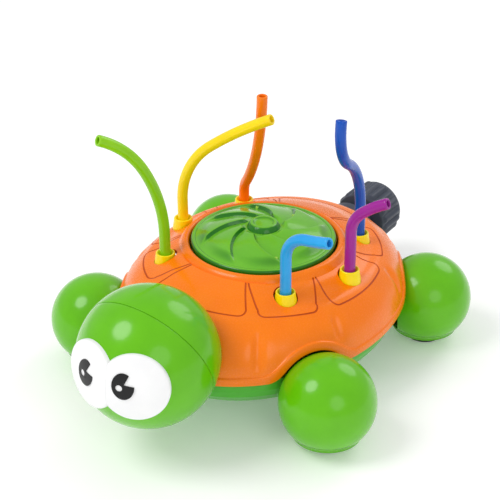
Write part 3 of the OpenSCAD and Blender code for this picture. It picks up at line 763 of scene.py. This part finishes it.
def make_tube(colour_name):
    """A hollow tube: up its outside, round its open end and down its bore."""
    path = tube_path(colour_name)
    bm = bmesh.new()
    ring = bmesh.ops.create_circle(bm, segments=32, radius=TUBE_BORE, cap_ends=False)["verts"]
    edges = list(bm.edges)
    stations = [(path[0], TUBE_BORE)]
    stations += [(station, TUBE_R) for station in path[:-1]]
    end, heading, side = path[-1]
    stations += [((end - heading * back * MM, heading, side), radius) for back, radius in TUBE_MOUTH]
    stations += [(station, TUBE_BORE) for station in reversed(path[:-1])]
    angles = [math.atan2(point.co.y, point.co.x) for point in ring]

    def lay(points, station, radius):
        place, heading, side = station
        across = heading.cross(side).normalized()
        ahead = across.cross(heading).normalized()
        for point, a in zip(points, angles):
            point.co = place + (ahead * math.cos(a) + across * math.sin(a)) * radius

    lay(ring, *stations[0])
    for station, radius in stations[1:]:
        made = bmesh.ops.extrude_edge_only(bm, edges=edges)["geom"]
        points = [item for item in made if isinstance(item, bmesh.types.BMVert)]
        edges = [item for item in made if isinstance(item, bmesh.types.BMEdge)]
        lay(points, station, radius)
    tube = new_object(f"tube_{colour_name}", bm)
    tube.data.materials.append(MATERIAL[f"tube_{colour_name}"])
    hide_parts(f"tube_root_{colour_name}", f"tube_tip_{colour_name}")
    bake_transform(tube)


for colour_name in COLOURS:
    make_tube(colour_name)

# ---- head ----

SEAM_TILT = math.radians(23)
SEAM_OFF = 3 * MM
SEAM_ROUND = 0.55 * MM
HEAD_WALL = 2.4 * MM
SEAM_AXIS = Vector((0, -math.cos(SEAM_TILT), -math.sin(SEAM_TILT)))
# radius and length in mm, from the middle of the head toward the body
NECK_HOLE = [(0, 0), (10.1, 0), (10.1, 60), (0, 60)]


def head_profile(offset):
    """Profile of a hollow cap of the head, with a rounded edge at the seam plane."""
    stop = math.degrees(math.asin((offset + 0.05 * MM) / HEAD_R))
    lift = math.degrees(SEAM_ROUND / HEAD_R)
    profile = arc(0, 0, HEAD_R, 90, stop + lift, 40)
    edge_r = math.sqrt(HEAD_R ** 2 - offset ** 2)
    profile += [(edge_r - 0.12 * MM, offset + 0.22 * MM), (edge_r - 0.45 * MM, offset + 0.05 * MM)]
    inside = HEAD_R - HEAD_WALL
    edge_in = math.sqrt(inside ** 2 - offset ** 2)
    stop_in = math.degrees(math.asin((offset + 0.05 * MM) / inside))
    profile += [(edge_in, offset + 0.05 * MM)]
    profile += arc(0, 0, inside, stop_in, 90, 40)[1:]
    return profile


def make_head():
    """The two halves of the head, the rear one with its hole for the neck."""
    front = new_object("head_front_half", turned(head_profile(-SEAM_OFF), 128, HEAD, SEAM_AXIS))
    finish_piece(front, "body", MATERIAL["lime_green"], "lime_green", "head_front")
    back = new_object("head_back_half", turned(head_profile(SEAM_OFF), 128, HEAD, -SEAM_AXIS))
    neck = new_object("neck_hole", turned(in_mm(NECK_HOLE), 64, HEAD, REARWARD))
    cut(back, [neck])
    sharpen(back, 40)
    finish_piece(back, "body", MATERIAL["lime_green"], "lime_green", "head_back")


make_head()

# ---- eyes ----

FACE_TURN = math.radians(4.8)
EYE_TURN = math.radians(21.5)
EYE_LIFT = math.radians(6.5)
EYE_R = 19.2 * MM
EYE_DOME = 60 * MM
EYE_TOP = HEAD_R + 1 * MM
EYE_EDGE = 1.1 * MM
EYE_DIP = 0.25 * MM


def eye_turn(side):
    """Turn of an eye's own frame, whose Z leaves the head and whose X runs toward +X."""
    across = Matrix.Rotation(FACE_TURN + side * EYE_TURN, 4, "Z")
    upright = Matrix.Rotation(math.pi / 2 - EYE_LIFT, 4, "X")
    return Matrix.Translation(HEAD) @ across @ upright


def dome_z(r):
    """Height of an eye's domed face above the middle of the head."""
    return EYE_TOP - EYE_DOME + math.sqrt(EYE_DOME ** 2 - r * r)


def make_eye(name, side):
    """A domed white disc on the ball of the head, cut where it meets the other eye."""
    steps = 22
    flat = EYE_R - EYE_EDGE
    profile = [(flat * i / steps, dome_z(flat * i / steps)) for i in range(steps + 1)]
    for i in range(1, 8):
        a = math.pi / 2 * i / 7
        profile.append((flat + EYE_EDGE * math.sin(a),
                        dome_z(flat) - EYE_DIP * math.sin(a) - EYE_EDGE * (1 - math.cos(a))))
    under = HEAD_R + 0.04 * MM
    spread = math.asin(EYE_R / under)
    profile += [(under * math.sin(spread * i / 10), under * math.cos(spread * i / 10))
                for i in range(10, -1, -1)]
    bm = turned(profile, 96)
    bmesh.ops.transform(bm, matrix=eye_turn(side), verts=bm.verts)
    outward = Vector((math.cos(FACE_TURN), math.sin(FACE_TURN), 0)) * side
    bmesh.ops.bisect_plane(bm, geom=bm.verts[:] + bm.edges[:] + bm.faces[:], plane_no=-outward,
                           plane_co=HEAD + outward * 0.04 * MM, clear_outer=True)
    bmesh.ops.holes_fill(bm, edges=[edge for edge in bm.edges if edge.is_boundary], sides=0)
    eye = new_object(f"{name}_disc", bm)
    sharpen(eye, 50)
    finish_piece(eye, "body", MATERIAL["eye_white"], "eye_white", name)


make_eye("eye_left", 1)
make_eye("eye_right", -1)

# ---- feet ----

SEAM_Z = 11 * MM
PAD_H = 2 * MM
CAP_FLAT = 12.4 * MM
CAP_WALL = 2.4 * MM
BALL_WALL = 2.2 * MM
# what the feet give way to: radius and height in mm of the base's upright side, and its stretch in Y
BASE_SIDE = [(0, -60), (79.4, -60), (79.4, 90), (0, 90)]
BASE_STRETCH = 98.4 / 79.2


def make_foot(name):
    """A hollow ball on a cap, with a fine seam between them, trimmed where it meets the base."""
    centre, radius = FOOT[name]
    low = math.degrees(math.asin((SEAM_Z + 0.4 * MM - centre.z) / radius))
    wall = radius - BALL_WALL
    low_in = math.degrees(math.asin((SEAM_Z + 0.15 * MM - centre.z) / wall))
    seam_r = math.sqrt(radius ** 2 - (centre.z - SEAM_Z) ** 2)
    upper = arc(0, 0, radius, 90, low, 40)
    upper += [(seam_r - 0.05 * MM, SEAM_Z + 0.2 * MM - centre.z),
              (seam_r - 0.4 * MM, SEAM_Z + 0.13 * MM - centre.z)]
    upper += arc(0, 0, wall, low_in, 90, 32)
    ball = new_object(f"ball_{name}", turned(upper, 96, centre))
    trim = new_object("trim", turned(in_mm(BASE_SIDE), 160, AXIS))
    for point in trim.data.vertices:
        point.co.y = AXIS.y + (point.co.y - AXIS.y) * BASE_STRETCH
    cut(ball, [trim])
    sharpen(ball, 40)
    finish_piece(ball, "body", MATERIAL["lime_green"], "lime_green", f"foot_{name}")
    high = math.degrees(math.asin((SEAM_Z - 0.4 * MM - centre.z) / radius))
    bottom = math.degrees(math.asin((PAD_H + 0.4 * MM - centre.z) / radius))
    lower = [(0, SEAM_Z - 4 * MM - centre.z), (seam_r - CAP_WALL, SEAM_Z - 4 * MM - centre.z),
             (seam_r - 2.2 * MM, SEAM_Z - 0.13 * MM - centre.z),
             (seam_r - 0.5 * MM, SEAM_Z - 0.13 * MM - centre.z),
             (seam_r - 0.15 * MM, SEAM_Z - 0.2 * MM - centre.z)]
    lower += arc(0, 0, radius, high, bottom, 14)
    lower += [(CAP_FLAT, PAD_H + 0.05 * MM - centre.z), (0, PAD_H + 0.05 * MM - centre.z)]
    cap = new_object(f"cap_{name}", turned(lower, 96, centre))
    finish_piece(cap, "body", MATERIAL["lime_green"], "lime_green", f"foot_cap_{name}")


for name in FEET:
    make_foot(name)

# ---- hose nut ----

RIBS = 18
RIB_H = 1.55 * MM
THREAD_R = 13.5 * MM
THREAD_PITCH = 2.21 * MM
THREAD_TURNS = 4
THREAD_START = 14.6 * MM
NUT_BORE = 10.1 * MM
SEAT_R = 13 * MM


def make_nut():
    """The ribbed nut: its ribs are rounded and run out before each end."""
    columns = RIBS * 12
    root = NUT_R - 1.7 * MM
    stops = [(THREAD_R + 0.1 * MM, NUT_LEN), (THREAD_R + 1.2 * MM, NUT_LEN), (root - 0.6 * MM, NUT_LEN),
             (root - 0.1 * MM, NUT_LEN - 0.3 * MM), (root + 0.1 * MM, NUT_LEN - 0.9 * MM),
             (root + 0.1 * MM, NUT_LEN - 1.9 * MM), (root + 0.1 * MM, NUT_LEN - 2.8 * MM)]
    stops += [(root + 0.1 * MM, NUT_LEN - 2.8 * MM - (NUT_LEN - 5.6 * MM) * i / 12) for i in range(1, 13)]
    stops += [(root + 0.1 * MM, 1.9 * MM), (root + 0.1 * MM, 0.9 * MM), (root - 0.2 * MM, 0.3 * MM),
              (root - 0.8 * MM, 0), (NUT_BORE, 0), (NUT_BORE, 3.8 * MM), (SEAT_R, 3.9 * MM),
              (SEAT_R, 12.9 * MM), (THREAD_R, 13 * MM), (THREAD_R, NUT_LEN - 0.6 * MM),
              (THREAD_R + 0.1 * MM, NUT_LEN)]

    def place(u, v):
        a = TAU * (round(u * columns) % columns) / columns
        r, along = stops[round(v * (len(stops) - 1))]
        if r > root - 0.05 * MM:
            ends = smooth((along - 1.4 * MM) / (2 * MM)) * smooth((NUT_LEN - 1.4 * MM - along) / (2 * MM))
            r += RIB_H * ends * pow(0.5 + 0.5 * math.cos(RIBS * a), 0.6)
        return NUT + Vector((r * math.sin(a), along, r * math.cos(a)))

    nut = new_object("swivel_nut", grid(columns, len(stops) - 1, place))
    sharpen(nut, 50)
    finish_piece(nut, "hose_nut", MATERIAL["slate"], "slate", "hose_nut")


def make_thread():
    """The thread inside the nut, one ridge swept along a helix."""
    bm = bmesh.new()
    section = [(THREAD_R + 0.05 * MM, -0.8 * MM), (THREAD_R - 0.75 * MM, -0.12 * MM),
               (THREAD_R - 0.75 * MM, 0.12 * MM), (THREAD_R + 0.05 * MM, 0.8 * MM)]
    points = [bm.verts.new((r, 0, z)) for r, z in section]
    edges = [bm.edges.new(pair) for pair in zip(points, points[1:] + points[:1])]
    steps = 72
    bmesh.ops.spin(bm, geom=points + edges, cent=(0, 0, 0), axis=UP, angle=TAU * THREAD_TURNS,
                   steps=steps * THREAD_TURNS, dvec=(0, 0, THREAD_PITCH / steps), use_merge=False)
    bmesh.ops.holes_fill(bm, edges=[edge for edge in bm.edges if edge.is_boundary], sides=0)
    turn = UP.rotation_difference(REARWARD).to_matrix().to_4x4()
    lift = Matrix.Translation(NUT + REARWARD * THREAD_START)
    bmesh.ops.transform(bm, matrix=lift @ turn, verts=bm.verts)
    thread = new_object("nut_thread", bm)
    sharpen(thread, 30)
    finish_piece(thread, "hose_nut", MATERIAL["slate"], "slate")


make_nut()
make_thread()

# ---- the rest of the frame keeps its shape and gets its finish ----

KEPT = {
    "base_green": ("base_tray", "neck_bracket"),
    "steel": ("shell_screws", "lid_screws", "spindle", "spindle_clip", "head_screws", "foot_screws"),
    "inner_plastic": ("manifold_body", "manifold_lid"),
    "rubber_black": ("manifold_seal", "inlet_seal", "hose_washer", "foot_pads"),
    "bush_white": ("spinner_bush", "inlet_filter"),
    "spinner_green": ("spinner_plate",),
    "slate": ("inlet_flange", "inlet_pipe"),
    "pupil_black": ("pupil_left", "pupil_right"),
}
for finish, nodes in KEPT.items():
    for name in nodes:
        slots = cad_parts[name].data.materials
        slots.clear()
        slots.append(MATERIAL[finish])

# ---- stage, light and camera ----


def make_floor():
    """A wide pale floor that glows a little, so that it stays nearly white."""
    bm = bmesh.new()
    bmesh.ops.create_grid(bm, x_segments=1, y_segments=1, size=6)
    floor = new_object("floor", bm)
    floor.location.z = -0.05 * MM
    material, tree, place = start("pale_floor")
    base = mix(tree, noise(tree, place, 3.0), (0.93, 0.93, 0.93, 1), (0.95, 0.95, 0.95, 1))
    bump = node(tree, "ShaderNodeBump", {}, {"Strength": 0.02, "Height": noise(tree, place, 400.0)})
    close(tree, base, 0.6, bump, {"Emission Color": (1, 1, 1, 1), "Emission Strength": 0.16})
    floor.data.materials.append(material)


def make_light(name, place, size, power):
    """A round soft light that faces the toy."""
    light = bpy.data.lights.new(name, "AREA")
    light.shape = "DISK"
    light.size = size
    light.energy = power
    lamp = bpy.data.objects.new(name, light)
    lamp.location = place
    lamp.rotation_mode = "QUATERNION"
    lamp.rotation_quaternion = (Vector(place) - Vector((0, 0, 0.05))).to_track_quat("Z", "Y")
    bpy.context.scene.collection.objects.link(lamp)


def make_camera():
    """The camera looks down on the toy from its front left."""
    target = Vector((0, 6.05 * MM, 41.5 * MM))
    back = Vector((0.4684, -0.7214, 0.5101))
    view = bpy.data.cameras.new("camera")
    view.lens = 97.2
    view.sensor_width = 36
    view.shift_x = -0.027
    view.shift_y = 0.086
    view.clip_start = 0.05
    view.clip_end = 60
    camera = bpy.data.objects.new("camera", view)
    camera.location = target + back * 0.835
    camera.rotation_mode = "QUATERNION"
    camera.rotation_quaternion = back.to_track_quat("Z", "Y")
    bpy.context.scene.collection.objects.link(camera)
    bpy.context.scene.camera = camera


make_floor()
make_light("key", (-0.7, -0.9, 1.5), 0.9, 13)
make_light("fill", (1.3, -0.9, 0.9), 1.0, 4)
make_light("back", (0.3, 1.4, 1.2), 1.0, 6)
world = bpy.data.worlds.new("studio")
bpy.context.scene.world = world
world.use_nodes = True
world.node_tree.nodes["Background"].inputs["Color"].default_value = (1, 1, 1, 1)
world.node_tree.nodes["Background"].inputs["Strength"].default_value = 0.62
make_camera()
bpy.context.scene.view_settings.view_transform = "Standard"
